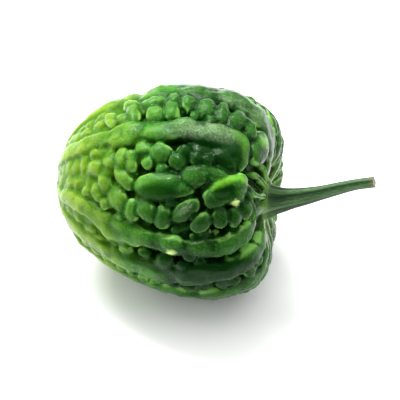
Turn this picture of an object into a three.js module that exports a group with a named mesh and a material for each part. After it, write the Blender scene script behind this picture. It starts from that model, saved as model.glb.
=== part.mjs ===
// A short, stubby bitter gourd lying on its side: one grown fruit with broken ridges and
// rows of warts between them, and the ribbed stem it was cut by.
// Millimetres, +Z up, stem end toward +X. The origin is under the middle, on the surface.
//
// A place on the skin is given by two numbers: "along", the distance over the ridge
// crests from the seat of the stem, and "round", the angle about the fruit's axis,
// where 0 faces -Y and 90 faces up.

import * as THREE from "three";

// ---- driving dimensions ----
const fruitLength = 97.5; // blossom tip to the middle of the stem's seat
const acrossCrests = 100; // widest, over the crests of the ridges
const axisTilt = 2.5; // degrees, stem end up
const shoulderLean = 0.03; // the crown grows a little further on the low side
const seatRadius = 8; // flat ring that the stem grows from
const seatGap = 0.3; // between the seat and the stem
const swellAlong = 98; // where the two lowest ridges stand out most
const restingCut = 1.3; // how much the lowest ridges are flattened where it lies
const wartHeight = 0.72; // height of a wart as a share of its smaller width
const bumpSpread = 1.2; // how far the foot of a bump spreads into its neighbours
const rowSteps = 49; // rings of the fruit's mesh
const valleyStep = 3.6; // spacing of its columns in the valleys, at the crown
const stemSides = 20;

// Depth of the grooves below the crests, at distances along from the stem.
const grooveDepth = [
  [4, 0],
  [12, 2.6],
  [24, 5.6],
  [40, 7.2],
  [80, 6.8],
  [110, 5.2],
  [135, 3.2],
  [152, 1.2],
  [160, 0],
];

// How much further the shoulder reaches toward the stem, at angles round the fruit.
const shoulderReach = [
  [-60, 2.6],
  [-30, 3],
  [0, 2.6],
  [24, -0.6],
  [60, 0],
  [115, 0.6],
  [145, 3],
  [175, 3],
  [215, 2.2],
  [270, 1.6],
  [300, 2.6],
];

// The ridges in order round the fruit. Each has its course, the angle at distances along,
// and its half width, one number or a change along it. "start" is where a ridge begins
// short of the stem, "broken" marks the one that only its lobes stand for, and "swell" is
// how far the two that carry the fruit stand out under its weight.
const ridges = [
  {
    course: [
      [24, 27], [30, 23.5], [36, 19.8], [43, 15.6], [55, 13], [66, 12.8],
      [80, 13.8], [92, 14.5], [102, 14.2], [110, 18.3], [120, 23.5], [135, 23],
    ],
    half: [
      [24, 4.5], [36, 5.6], [43, 5.4], [57, 6], [66, 5],
      [80, 5], [92, 5.8], [102, 8.4], [110, 7.2], [120, 6.4],
    ],
    start: 22,
  },
  { course: [[4, 52], [60, 49], [150, 42]], half: 4, broken: true },
  {
    course: [
      [30, 67], [38, 71], [47, 75], [56, 77.5], [65, 79],
      [74, 79], [85, 77], [98, 76], [113, 73.5], [126, 70],
    ],
    half: [[38, 9], [47, 10.4], [56, 9], [65, 7.2], [74, 6], [85, 5.8], [98, 6.8], [113, 6.6]],
    start: 36,
  },
  {
    course: [[4, 117], [20, 117], [38, 115.5], [60, 117], [90, 118], [105, 118], [150, 112]],
    half: [[4, 6], [20, 9], [35, 10.6], [60, 11.2], [95, 11], [115, 8]],
  },
  { course: [[4, 146], [60, 149], [110, 147], [150, 143]], half: 5, start: 10 },
  { course: [[4, 174], [50, 171], [100, 175], [150, 173]], half: 5.2 },
  { course: [[4, 199], [60, 202], [110, 199], [150, 202]], half: 4.8, start: 13 },
  { course: [[4, 229], [45, 226], [95, 229], [150, 228]], half: 5.2 },
  { course: [[4, 257], [60, 255], [110, 257], [150, 255]], half: 5.4, swell: 2.8 },
  { course: [[4, 281], [60, 283], [110, 281], [150, 283]], half: 5.4, swell: 2.8 },
  { course: [[4, 303], [50, 302], [100, 301], [150, 304]], half: 4.6 },
  {
    course: [[4, 334], [20, 334], [36, 331], [60, 327], [75, 326], [110, 324], [150, 326]],
    half: [[4, 5.4], [30, 7.4], [75, 7.8], [95, 5.8]],
  },
  {
    course: [
      [4, 364], [20, 362], [35, 360], [43, 358], [56, 355], [66, 352],
      [75, 350], [88, 349.6], [103, 351.4], [125, 355], [150, 355],
    ],
    half: [[4, 5], [30, 6.6], [43, 7.2], [60, 8], [75, 8.4], [95, 8], [110, 7]],
  },
];

// Long lobes of the broken ridge, and the folds under the end of the ridge above it:
// along, round, half length, half width, turn in degrees, height as a share of the groove.
const lobes = [
  [79, 45.3, 14, 7.1, -9, 1],
  [62.3, 52.6, 8.2, 5.2, -16, 0.98],
  [53.6, 54.6, 6.6, 4.6, -4, 0.95],
  [48.6, 48, 11.6, 6.2, -33, 1],
  [50, 64.5, 8.6, 5.4, 36, 0.85],
  [57, 70, 14, 7.5, -22, 0.6],
];

// Warts on the side that faces up and out, grown in rows between the ridges:
// along, round, half length, half width, turn.
const sideWarts = [
  // between the top ridge and the one below it
  [24.5, 100, 7.6, 7.8, 10],
  [41, 92.5, 3.4, 6.4, -27],
  [48.9, 94.3, 5.2, 6.9, 14],
  [56, 95.8, 3.2, 8, -4],
  [59.7, 87.5, 2.6, 2.8, 28],
  [64.1, 97.1, 5.4, 8.1, -8],
  [68.4, 90.1, 2.2, 2.9, -15],
  [73, 100.4, 3.6, 6.5, -15],
  [80.3, 103.9, 3, 4.6, -26],
  [79.8, 93.6, 3.8, 7.4, -13],
  [86.8, 90, 4.8, 6.1, -24],
  [89.7, 101, 7.4, 4.2, -14],
  [99, 93.8, 3.6, 8, -21],
  [101.1, 101, 3.8, 7, -38],
  [103.2, 88.6, 2.8, 4.3, -41],
  [109.5, 90.4, 3, 6.2, -27],
  // above the broken ridge
  [58, 62.4, 2.8, 3.1],
  [63.4, 62.5, 3.2, 3.1, -7],
  [69.2, 65.5, 3.3, 3.2, 36],
  [71.2, 59.3, 3.8, 4.2, 25],
  [73.7, 64.5, 2, 1.6, 2],
  [80.5, 63.4, 5.3, 4.8, 45],
  [79, 54.8, 2.8, 2.2],
  [86, 57.5, 3.1, 2.9, 26],
  [89, 65.4, 4.4, 3.7, 22],
  [93.4, 60.6, 3.7, 3, 12],
  [93.3, 55.5, 2.8, 3.3, -23],
  [98.8, 58.7, 3.5, 5.7, -8],
  [96.6, 47.6, 3.5, 6.1, -44],
  [105.2, 57, 4.3, 3.9, -6],
  [112.7, 52.6, 5.4, 4.1, 7],
  [113.9, 62.5, 3.2, 2, 12],
  // below the broken ridge
  [35.3, 37, 2.9, 4.6, 11],
  [41.5, 32.1, 3.9, 4.9, -9],
  [49.3, 31.6, 3.8, 4.9],
  [53.7, 38.3, 2.3, 1.9, -6],
  [58.6, 28.4, 4, 5.4, 41],
  [66.4, 33.7, 7.6, 3.9, -43],
  [72.8, 37, 2.8, 1.9, -10],
  [76.7, 28.4, 4.2, 5.5, 14],
  [84.5, 31.2, 4.2, 6, -43],
  [91.4, 29.2, 3.2, 5.9, 4],
  [99.4, 34.9, 5, 6.5, -39],
  [97.6, 24.8, 3.2, 2, -23],
  [105.4, 30.3, 3.3, 2.6, -27],
  [106.6, 43.3, 3.2, 5.8, -27],
  [110.3, 36.8, 3.6, 4.8, -28],
  [117, 35.9, 2.9, 2, -14],
  // below the ridge that faces out
  [59.2, 3.6, 2.3, 2.1, -32],
  [63.5, 8, 3.3, 2.8, -29],
  [68.1, 0.2, 3.3, 2.4, -35],
  [76.4, 1.5, 3.7, 5, 38],
  [86, 4, 3, 2.4],
];

// ---- helpers ----
const radians = THREE.MathUtils.degToRad;
const degrees = THREE.MathUtils.radToDeg;

// The angle from one direction to another, between -180 and 180.
const angleFrom = (start, end) => THREE.MathUtils.euclideanModulo(end - start + 180, 360) - 180;

// Linear congruential draws between 0 and 1: the same fruit grows every time.
function makeDraws(seed) {
  let state = seed;
  return () => {
    state = (state * 1664525 + 1013904223) % 4294967296;
    return state / 4294967296;
  };
}

// A smooth curve through pairs of distance and value, level before the first and after the last.
function follow(pairs, along) {
  const last = pairs.length - 1;
  if (along <= pairs[0][0]) return pairs[0][1];
  if (along >= pairs[last][0]) return pairs[last][1];
  let i = 0;
  while (pairs[i + 1][0] < along) i++;
  const slopeAt = (k) => {
    const before = pairs[Math.max(k - 1, 0)];
    const after = pairs[Math.min(k + 1, last)];
    return (after[1] - before[1]) / (after[0] - before[0]);
  };
  const span = pairs[i + 1][0] - pairs[i][0];
  const t = (along - pairs[i][0]) / span;
  const rise = t * t * (3 - 2 * t);
  const value = pairs[i][1] * (1 - rise) + pairs[i + 1][1] * rise;
  return value + span * t * (1 - t) * ((1 - t) * slopeAt(i) - t * slopeAt(i + 1));
}

// Half outline over the crests, from the stem's seat round the crown to the blossom tip.
// x runs from the tip along the axis, y is the distance from the axis.
const crown = acrossCrests / 2;
const outline = new THREE.CurvePath();
const outlinePoints = [
  [fruitLength, 4],
  [fruitLength + 4.5, 16],
  [fruitLength + 4, 0.58 * crown],
  [fruitLength + 1.5, 0.72 * crown],
  [fruitLength - 2.5, 0.9 * crown],
  [fruitLength - 13.5, crown],
  [fruitLength - 27.5, crown],
  [48, crown],
  [25.5, 0.825 * crown],
  [14, 0.63 * crown],
  [6, 0.5 * crown],
  [0.5, 16],
  [0, 0],
].map(([x, y]) => new THREE.Vector2(x, y));
for (let i = 0; i < outlinePoints.length - 1; i += 3) {
  outline.add(new THREE.CubicBezierCurve(...outlinePoints.slice(i, i + 4)));
}
const outlineLength = outline.getLength();

// Place in the frame of the lying fruit, before it is set down on the surface.
function placeInFrame(x, radius, round) {
  const angle = radians(round);
  const turned = THREE.MathUtils.euclideanModulo(round + 60, 360) - 60;
  const pastCrown = THREE.MathUtils.smoothstep(x, 0.78 * fruitLength, 1.02 * fruitLength);
  const reach = follow(shoulderReach, turned) * pastCrown * THREE.MathUtils.smoothstep(radius, 10, 30);
  const leaned = x + reach - shoulderLean * radius * Math.sin(angle - Math.PI / 4) - fruitLength / 2;
  const up = radius * Math.sin(angle);
  const tilt = radians(axisTilt);
  return new THREE.Vector3(
    leaned * Math.cos(tilt) - up * Math.sin(tilt),
    -radius * Math.cos(angle),
    leaned * Math.sin(tilt) + up * Math.cos(tilt),
  );
}

function crestRadius(along) {
  return outline.getPoint(along / outlineLength).y;
}

// Half width of a ridge: it narrows toward both ends, where the ridges crowd together.
function ridgeHalf(ridge, along) {
  const crowding = Math.min(1, crestRadius(along) / 46) ** 0.75;
  const half = Array.isArray(ridge.half) ? follow(ridge.half, along) : ridge.half;
  return half * crowding * (1 + 0.07 * Math.sin(along / 2.9 + ridge.course[0][1]));
}

// The valley above a ridge: the angles of its two feet, at a distance along.
function valleyAbove(i, along) {
  const low = ridges[i];
  const high = ridges[(i + 1) % ridges.length];
  const turn = i === ridges.length - 1 ? 360 : 0;
  const radius = crestRadius(along);
  const lowHalf = low.broken ? 0 : degrees(ridgeHalf(low, along) / radius);
  const highHalf = high.broken ? 0 : degrees(ridgeHalf(high, along) / radius);
  return {
    lowCrest: follow(low.course, along),
    lowHalf,
    from: follow(low.course, along) + lowHalf,
    to: follow(high.course, along) + turn - highHalf,
    highHalf,
  };
}

// ---- warts grown by rule in every valley that has none listed ----
const firstGrown = { 0: 114, 1: 102, 2: 112, 12: 92 }; // past the listed ones, by valley
function growWarts() {
  const draw = makeDraws(20);
  const grown = [];
  for (let i = 0; i < ridges.length; i++) {
    let along = firstGrown[i] ?? 14;
    while (along < outlineLength - 9) {
      const radius = crestRadius(along);
      const { from, to } = valleyAbove(i, along);
      const free = radians(to - from) * radius;
      const rows = Math.max(1, Math.round(free / 8));
      const half = (2.6 + 2.1 * draw()) * Math.min(1, radius / 34 + 0.25);
      for (let row = 0; row < rows; row++) {
        grown.push([
          along + half + (draw() - 0.5) * 2.4,
          from + ((row + 0.5 + (draw() - 0.5) * 0.25) / rows) * (to - from),
          half * (0.95 + 0.25 * draw()),
          Math.max(1.6, (free / rows) * (0.44 + 0.14 * draw())),
        ]);
      }
      along += half * 1.85;
    }
  }
  return grown;
}
const warts = [...sideWarts, ...growWarts()];

// Height of a rounded bump over its foot, from 1 at its middle to 0 at its rim.
function domeHeight(bump, along, round) {
  const [bumpAlong, bumpRound, halfLength, halfWidth, turn = 0] = bump;
  const across = crestRadius(bumpAlong) * radians(angleFrom(bumpRound, round));
  const ahead = along - bumpAlong;
  const cos = Math.cos(radians(turn));
  const sin = Math.sin(radians(turn));
  const p = (ahead * cos + across * sin) / halfLength;
  const q = (across * cos - ahead * sin) / halfWidth;
  return Math.max(0, 1 - (p * p + q * q) / bumpSpread) ** 0.8;
}

// Height of the skin over the floor of the grooves.
function relief(along, round) {
  const depth = follow(grooveDepth, along);
  let height = 0;
  for (const ridge of ridges) {
    if (ridge.broken) continue;
    const off = angleFrom(follow(ridge.course, along), round);
    const across = (crestRadius(along) * radians(off)) / ridgeHalf(ridge, along);
    const fromEnd = ridge.start ? Math.max(0, ridge.start + 7 - along) / 7 : 0;
    const wave = ridge.swell ? 1 : 0.95 + 0.05 * Math.sin(along / 4.3 + 2 * ridge.course[0][1]);
    const tall = depth * wave + (ridge.swell ?? 0) * Math.exp(-(((along - swellAlong) / 13) ** 2));
    height = Math.max(height, tall * Math.sqrt(Math.max(0, 1 - across * across - fromEnd * fromEnd)));
  }
  for (const lobe of lobes) height = Math.max(height, depth * lobe[5] * domeHeight(lobe, along, round));
  for (const wart of warts) {
    if (Math.abs(wart[0] - along) > 9) continue;
    const tall = Math.min(depth, 2 * wartHeight * Math.min(wart[2], wart[3]));
    height = Math.max(height, tall * domeHeight(wart, along, round));
  }
  return height;
}

// Angles of the mesh's columns at one ring: on each crest, its flanks and its feet, and
// evenly in the valley up to the next ridge, so the facets run with the ridges.
const valleyColumns = ridges.map((ridge, i) => {
  const valley = valleyAbove(i, 70);
  return Math.round((radians(valley.to - valley.from) * crown) / valleyStep);
});
function columnAngles(along) {
  const angles = [];
  for (let i = 0; i < ridges.length; i++) {
    const { lowCrest, lowHalf, from, to, highHalf } = valleyAbove(i, along);
    if (lowHalf > 0) angles.push(lowCrest, lowCrest + lowHalf * 0.5);
    for (let k = 0; k < valleyColumns[i]; k++) angles.push(from + ((to - from) * k) / valleyColumns[i]);
    if (highHalf > 0) angles.push(to, to + highHalf * 0.5);
  }
  return angles;
}

// Closes a stack of rings, each the same number of points, with a point at either end.
function closedSkin(rings, firstPole, lastPole) {
  const sides = rings[0].length;
  const points = [firstPole, ...rings.flat(), lastPole];
  const faces = [];
  for (let j = 0; j < sides; j++) {
    const k = (j + 1) % sides;
    faces.push(0, 1 + k, 1 + j);
    for (let i = 0; i < rings.length - 1; i++) {
      const a = 1 + i * sides;
      const b = a + sides;
      faces.push(a + j, b + k, b + j);
      faces.push(a + j, a + k, b + k);
    }
    const lastRing = 1 + (rings.length - 1) * sides;
    faces.push(points.length - 1, lastRing + j, lastRing + k);
  }
  const geometry = new THREE.BufferGeometry().setFromPoints(points);
  geometry.setIndex(faces);
  return geometry;
}

// ---- fruit ----
const seatAlong = 4;
const seatPlace = outline.getPoint(seatAlong / outlineLength);
const fruitRings = [columnAngles(seatAlong).map((round) => placeInFrame(seatPlace.x, seatRadius, round))];
for (let i = 1; i < rowSteps; i++) {
  const along = seatAlong + (i / rowSteps) * (outlineLength - seatAlong);
  const crest = outline.getPoint(along / outlineLength);
  const direction = outline.getTangent(along / outlineLength);
  const outward = new THREE.Vector2(-direction.y, direction.x).negate();
  const depth = follow(grooveDepth, along);
  fruitRings.push(
    columnAngles(along).map((round) => {
      const skin = crest.clone().addScaledVector(outward, relief(along, round) - depth);
      return placeInFrame(skin.x, skin.y, round);
    }),
  );
}
const fruitGeometry = closedSkin(fruitRings, placeInFrame(seatPlace.x, 0, 0), placeInFrame(0, 0, 0));

// ---- stem ----
// Centre line beyond the seat: x from the tip along the axis, lift above the axis, half thickness.
const stemCourse = [
  [seatPlace.x + seatGap, 0, 7.6],
  [101.5, 0.1, 6.4],
  [105.6, 1, 5.2],
  [110.3, 2.5, 4.3],
  [117.7, 5.3, 3.5],
  [125, 8.6, 2.8],
  [132.2, 12.2, 2.4],
  [140, 15.9, 2],
  [148.7, 18.9, 2.2],
];
const stemRibs = 5;
const stemSteps = 22;

const stemRings = [];
for (let i = 0; i <= stemSteps; i++) {
  const first = stemCourse[0][0];
  const x = first + (stemCourse.at(-1)[0] - first) * (i / stemSteps) ** 1.25;
  const lift = follow(stemCourse.map((place) => [place[0], place[1]]), x);
  const half = follow(stemCourse.map((place) => [place[0], place[2]]), x);
  const ahead = follow(stemCourse.map((place) => [place[0], place[1]]), x + 0.5);
  const slope = i === 0 ? 0 : Math.atan2(ahead - lift, 0.5);
  const ring = [];
  for (let j = 0; j < stemSides; j++) {
    const angle = (j / stemSides) * 2 * Math.PI;
    const rib = 1 + (0.05 + 0.09 * (1 - i / stemSteps)) * Math.cos(stemRibs * angle + 0.6);
    const up = half * rib * Math.sin(angle);
    const side = half * rib * Math.cos(angle);
    const radius = Math.hypot(side, lift + up * Math.cos(slope));
    const round = degrees(Math.atan2(lift + up * Math.cos(slope), side));
    ring.push(placeInFrame(x - up * Math.sin(slope), radius, round));
  }
  stemRings.push(ring);
}
function middleOf(ring) {
  const sum = new THREE.Vector3();
  for (const point of ring) sum.add(point);
  return sum.divideScalar(ring.length);
}
stemRings.reverse(); // from the cut end back to the seat, the way the fruit's rings run
const stemGeometry = closedSkin(stemRings, middleOf(stemRings[0]), middleOf(stemRings.at(-1)));

// ---- set down on the surface ----
// The lowest ridges are pressed flat, and the whole is moved over the origin.
fruitGeometry.computeBoundingBox();
const floor = fruitGeometry.boundingBox.min.z + restingCut;
const fruitPlaces = fruitGeometry.getAttribute("position");
for (let i = 0; i < fruitPlaces.count; i++) {
  fruitPlaces.setZ(i, Math.max(fruitPlaces.getZ(i), floor));
}
fruitGeometry.computeBoundingBox();
stemGeometry.computeBoundingBox();
const whole = fruitGeometry.boundingBox.clone().union(stemGeometry.boundingBox);
const middle = whole.getCenter(new THREE.Vector3());

const gourd = new THREE.Group();
const pieces = [
  ["fruit", fruitGeometry, 0x3f8a2e, 0.42],
  ["stem", stemGeometry, 0x46704a, 0.62],
];
for (const [name, geometry, color, roughness] of pieces) {
  geometry.translate(-middle.x, -middle.y, -floor);
  geometry.computeVertexNormals();
  const mesh = new THREE.Mesh(geometry, new THREE.MeshStandardMaterial({ color, roughness, metalness: 0 }));
  mesh.name = name;
  gourd.add(mesh);
}

export default gourd;
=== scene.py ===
import math
import bpy
import bmesh
import numpy as np
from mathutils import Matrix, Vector, noise


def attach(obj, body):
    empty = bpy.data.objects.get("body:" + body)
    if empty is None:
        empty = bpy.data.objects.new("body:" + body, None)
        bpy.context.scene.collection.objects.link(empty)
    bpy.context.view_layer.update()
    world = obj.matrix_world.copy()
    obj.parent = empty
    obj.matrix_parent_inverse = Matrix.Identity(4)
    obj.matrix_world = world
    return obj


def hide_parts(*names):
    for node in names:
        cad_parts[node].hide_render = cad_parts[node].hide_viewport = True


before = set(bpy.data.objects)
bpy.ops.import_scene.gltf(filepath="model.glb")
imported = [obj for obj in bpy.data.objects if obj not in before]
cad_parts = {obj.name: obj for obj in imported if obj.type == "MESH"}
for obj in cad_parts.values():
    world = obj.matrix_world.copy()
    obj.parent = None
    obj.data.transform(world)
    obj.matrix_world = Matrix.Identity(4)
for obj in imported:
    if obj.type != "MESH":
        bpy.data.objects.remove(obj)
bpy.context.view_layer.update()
print("frame loaded")

# All sizes below are in millimetres. "Along" is the distance over the ridge crests from
# the stem's seat, "round" the angle about the fruit's axis: 0 faces -Y and 90 faces up.
mm = 0.001

fruit = {
    "middle": (-25.04, 0.17, 46.58),  # middle of the axis in the part's frame
    "length": 97.5,  # blossom tip to the stem's seat
    "tilt": 2.5,  # degrees, stem end up
    "lean": 0.03,
    "seatRadius": 8.0,
    "outline": [  # from the seat round the crown to the tip: x from the tip, distance from the axis
        (97.5, 4), (102, 16), (101.5, 29), (99, 36), (95, 45), (84, 50), (70, 50),
        (48, 50), (25.5, 41.25), (14, 31.5), (6, 25), (0.5, 16), (0, 0),
    ],
    "grooveDepth": [  # along, depth under the crests
        (4, 0), (12, 2.6), (24, 5.6), (40, 7.2), (80, 6.8), (110, 5.2), (135, 3.2), (152, 1.2), (160, 0),
    ],
    "shoulderReach": [  # round, how far the shoulder reaches toward the stem
        (-60, 2.6), (-30, 3), (0, 2.6), (24, -0.6), (60, 0), (115, 0.6), (145, 3), (175, 3),
        (215, 2.2), (270, 1.6), (300, 2.6),
    ],
    "voxel": 0.6,  # of the remesh that fuses ridges and warts into one skin
    "keepFaces": 0.44,  # share of its triangles that stays
    "skinSmooth": 2,  # passes after it
    "floorZ": 0.0,
    "stemHollow": {"deep": 5, "round": 76, "wide": 16, "along": 9},  # between the stem and the broad fold
    "lobeFloor": 2,  # how much lower the floors lie among the biggest lobes
    "unevenness": [(6, 0.5), (2.6, 0.32), (1.3, 0.12)],  # size and height of the dents all over
    "lumpShare": 0.7,  # of the heights in the list of lumps
    "ringStep": 2.0,  # between the rings of the core
    "hollowPasses": 14,  # smoothing passes that hollows and crests are read against
    "creasePasses": 4,  # the same for creases and edges
    "footStrength": 0.68,  # of the pale green round the stem
}

# Course of each ridge (along, round), half width, and the odd ones out: "start" begins short
# of the stem, "broken" is only its lobes, "swell" carries the fruit. A swell and a notch are
# given by place along, half width and height.
ridges = [
    {"course": [(24, 27), (30, 23.5), (36, 19.8), (43, 15.6), (55, 13), (66, 12.8), (80, 13.8), (92, 14.5),
                (102, 14.2), (110, 18.3), (120, 23.5), (135, 23)],
     "half": [(24, 4.5), (36, 5.6), (43, 5.4), (57, 6), (66, 5), (80, 5), (92, 5.8), (102, 8.4), (110, 7.2),
              (120, 6.4)],
     "start": 22},
    {"course": [(4, 52), (60, 49), (150, 42)], "half": 4, "broken": True},
    {"course": [(30, 67), (38, 71), (47, 75), (56, 77.5), (65, 79), (74, 79), (85, 77), (98, 76), (113, 73.5),
                (126, 70)],
     "half": [(38, 9), (47, 10.4), (56, 9), (65, 7.2), (74, 6), (85, 5.8), (98, 6.8), (113, 6.6)],
     "start": 36},
    {"course": [(4, 117), (20, 117), (38, 115.5), (60, 117), (90, 118), (105, 118), (150, 112)],
     "half": [(4, 6), (20, 9), (35, 10.6), (60, 11.2), (95, 11), (115, 8)], "notch": (99, 2.6, 0.3)},
    {"course": [(4, 146), (60, 149), (110, 147), (150, 143)], "half": 5, "start": 10},
    {"course": [(4, 174), (50, 171), (100, 175), (150, 173)], "half": 5.2},
    {"course": [(4, 199), (60, 202), (110, 199), (150, 202)], "half": 4.8, "start": 13},
    {"course": [(4, 229), (45, 226), (95, 229), (150, 228)], "half": 5.2},
    {"course": [(4, 257), (60, 255), (110, 257), (150, 255)], "half": 5.4, "swell": (98, 13, 2.8)},
    {"course": [(4, 281), (60, 283), (110, 281), (150, 283)], "half": 5.4, "swell": (98, 13, 2.8)},
    {"course": [(4, 303), (50, 302), (100, 301), (150, 304)], "half": 4.6},
    {"course": [(4, 334), (20, 334), (36, 331), (60, 327), (75, 326), (110, 324), (150, 326)],
     "half": [(4, 5.4), (30, 7.4), (75, 7.8), (95, 5.8)]},
    {"course": [(4, 364), (20, 362), (35, 360), (43, 358), (56, 355), (66, 352), (75, 350), (88, 349.6),
                (103, 351.4), (125, 355), (150, 355)],
     "half": [(4, 5), (30, 6.6), (43, 7.2), (60, 8), (75, 8.4), (95, 8), (110, 7)]},
]

ridgeLook = {
    "flatness": 0.65,  # a band more than a rope: flat along the crest, steep at the flanks
    "sink": 5,  # how far the underside reaches into the core
    # mean, then the size and length of a slow and a quick wavering
    "half": (1, (0.13, 8), (0.06, 3)),
    "tall": (0.97, (0.07, 9), (0.03, 3.5)),
    "sway": (0, (0.9, 12), (0.3, 4)),
}

# Lobes of the broken ridge and the fold under the end of the one above it:
# along, round, half length, half width, turn, height.
lobes = [
    (77.6, 45.2, 15.2, 7.1, -8, 1.06),
    (62.3, 52.6, 8.2, 5.2, -16, 1.0),
    (53.6, 54.6, 6.6, 4.6, -4, 0.96),
    (47.6, 48, 12.6, 6.3, -33, 1.16),
    (50, 64.5, 8.6, 5.4, 36, 0.9),
    (57, 70, 14, 7.5, -22, 0.62),
    (45.5, 45, 8.6, 4.4, 0, 1.04),
    (42.5, 48.6, 6.6, 5.2, -10, 1.12),
]

# Warts on the side that faces up and out, laid the same way.
sideWarts = [
    (64.1, 97.1, 5.4, 8.1, -8), (73, 100.4, 3.6, 6.5, -15), (80.3, 103.9, 3, 4.6, -26),
    (79.8, 93.6, 3.8, 7.4, -13), (86.8, 90, 4.8, 6.1, -24), (89.7, 101, 7.4, 4.2, -14),
    (99, 93.8, 3.6, 8, -21), (68.4, 90.1, 2.2, 2.9, -15), (59.7, 87.5, 2.6, 2.8, 28),
    (56, 95.8, 3.2, 8, -4), (47.9, 93.7, 5.3, 8, 18), (41, 92.5, 3.4, 6.4, -27),
    (28.5, 91, 7.6, 10.5, 30), (109.5, 90.4, 3, 6.2, -27), (101.1, 101, 3.8, 7, -38),
    (103.2, 88.6, 2.8, 4.3, -41), (80.5, 63.4, 5.3, 4.8, 45), (89, 65.4, 4.4, 3.7, 22),
    (93.4, 60.6, 3.7, 3, 12), (71.2, 59.3, 3.8, 4.2, 25), (69.2, 65.5, 3.3, 3.2, 36),
    (63.4, 62.5, 3.2, 3.1, -7), (73.7, 64.5, 2, 1.6, 2), (58, 62.4, 2.8, 3.1, 0), (79, 54.8, 2.8, 2.2, 0),
    (86, 57.5, 3.1, 2.9, 26), (98.8, 58.7, 3.5, 5.7, -8), (93.3, 55.5, 2.8, 3.3, -23),
    (96.6, 47.6, 3.5, 6.1, -44), (112.7, 52.6, 5.4, 4.1, 7), (105.2, 57, 4.3, 3.9, -6),
    (113.9, 62.5, 3.2, 2, 12), (106.6, 43.3, 3.2, 5.8, -27), (99.4, 34.9, 5, 6.5, -39),
    (110.3, 36.8, 3.6, 4.8, -28), (105.4, 30.3, 3.3, 2.6, -27), (97.6, 24.8, 3.2, 2, -23),
    (117, 35.9, 2.9, 2, -14), (91.4, 29.2, 3.2, 5.9, 4), (84.5, 31.2, 4.2, 6, -43),
    (76.7, 28.4, 4.2, 5.5, 14), (66.4, 33.7, 7.6, 3.9, -43), (58.6, 28.4, 4, 5.4, 41),
    (49.3, 31.6, 3.8, 4.9, 0), (41.5, 32.1, 3.9, 4.9, -9), (35, 36.6, 4.8, 4.3, 35),
    (53.7, 38.3, 2.3, 1.9, -6), (72.8, 37, 2.8, 1.9, -10), (76.4, 1.5, 3.7, 5, 38),
    (63.5, 8, 3.3, 2.8, -29), (68.1, 0.2, 3.3, 2.4, -35), (59.2, 3.6, 2.3, 2.1, -32), (86, 4, 3, 2.4),
]

# How each kind of bump is made: fineness and fullness of its ball, height as a share of the groove's
# depth, unevenness and how domed it is.
bumpLook = {
    "lobe": {"detail": 4, "fullness": 2.5, "rough": 0.1, "dome": 0.9},
    "placed": {"detail": 3, "fullness": 2.2, "top": 1.04, "rough": 0.14, "dome": 1.0},
    "grown": {"detail": 2, "fullness": 2.2, "rough": 0.2, "dome": 0.85},
    "pimple": {"detail": 2, "fullness": 2.0, "rough": 0.25, "dome": 0.9},
}
bumpLimit = {"tall": 2.3, "rise": 0.75, "sink": 1.5}  # share of the narrower half, share of the height, mm
placedSpread = 1.1  # placed warts are laid this much larger than listed

# Warts that a rule lays on every side the lists leave free. A pair is the least and the range of a draw.
grownWarts = {
    "seed": 20,
    "from": 14,  # along, where a valley's warts begin
    "first": {0: 114, 1: 102, 2: 112, 12: 92},  # the same for the valleys that the lists fill, by number
    "rowWidth": 8,
    "half": (2.6, 2.1),
    "fullRadius": 34,  # they shrink where the fruit is narrower than three quarters of this
    "shift": 2.4,
    "length": (0.95, 0.25),
    "width": (0.44, 0.14),  # share of the row
    "narrowest": 1.6,
    "spacing": 1.85,
    "top": ((95, 125), (0.95, 0.72)),  # along, height there
}

# Low pimples on the groove floors. Not every draw is laid: the broad fold is kept clear.
pimples = {
    "seed": 7, "draws": 170, "along": (34, 76), "round": (14, 88), "half": (1.7, 1.6),
    "stretch": (0.8, 0.5), "top": (0.3, 0.35),
    "clearOf": (70, 56),  # none lies before this along and above this round
}

# Thin cords that run from the stem's foot over the shoulder: (along, round) points, half width, height.
cords = [
    {"path": [(5, 52), (14, 49), (25, 47.5), (33, 51), (41, 56), (47, 56)], "half": 1.5, "tall": 5.2},
    {"path": [(31, 23), (27, 29), (27.5, 36), (32, 43), (37, 50)], "half": 2.1, "tall": 6},
    {"path": [(3, 33), (12, 31), (22, 29)], "half": 4.5, "tall": 2.4},
    {"path": [(5, 74), (14, 70), (26, 66)], "half": 1.3, "tall": 2.8},
    {"path": [(5, 94), (12, 92), (19, 88)], "half": 1.5, "tall": 2.6},
    {"path": [(4, 38), (9, 30), (14, 22)], "half": 1.6, "tall": 2.2},
]


def smoothTable(pairs, step=0.25):
    # dense samples of a smooth curve through the pairs, read back with np.interp
    xs = np.array([p[0] for p in pairs], float)
    ys = np.array([p[1] for p in pairs], float)
    slopes = np.empty(len(xs))
    for k in range(len(xs)):
        before, after = max(k - 1, 0), min(k + 1, len(xs) - 1)
        slopes[k] = (ys[after] - ys[before]) / (xs[after] - xs[before])
    at = np.arange(xs[0], xs[-1] + step, step).clip(xs[0], xs[-1])
    i = np.clip(np.searchsorted(xs, at, side="left") - 1, 0, len(xs) - 2)
    span = xs[i + 1] - xs[i]
    t = (at - xs[i]) / span
    rise = t * t * (3 - 2 * t)
    bend = span * t * (1 - t) * ((1 - t) * slopes[i] - t * slopes[i + 1])
    return at, ys[i] * (1 - rise) + ys[i + 1] * rise + bend


def readTable(table, at):
    return np.interp(at, table[0], table[1])


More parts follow.
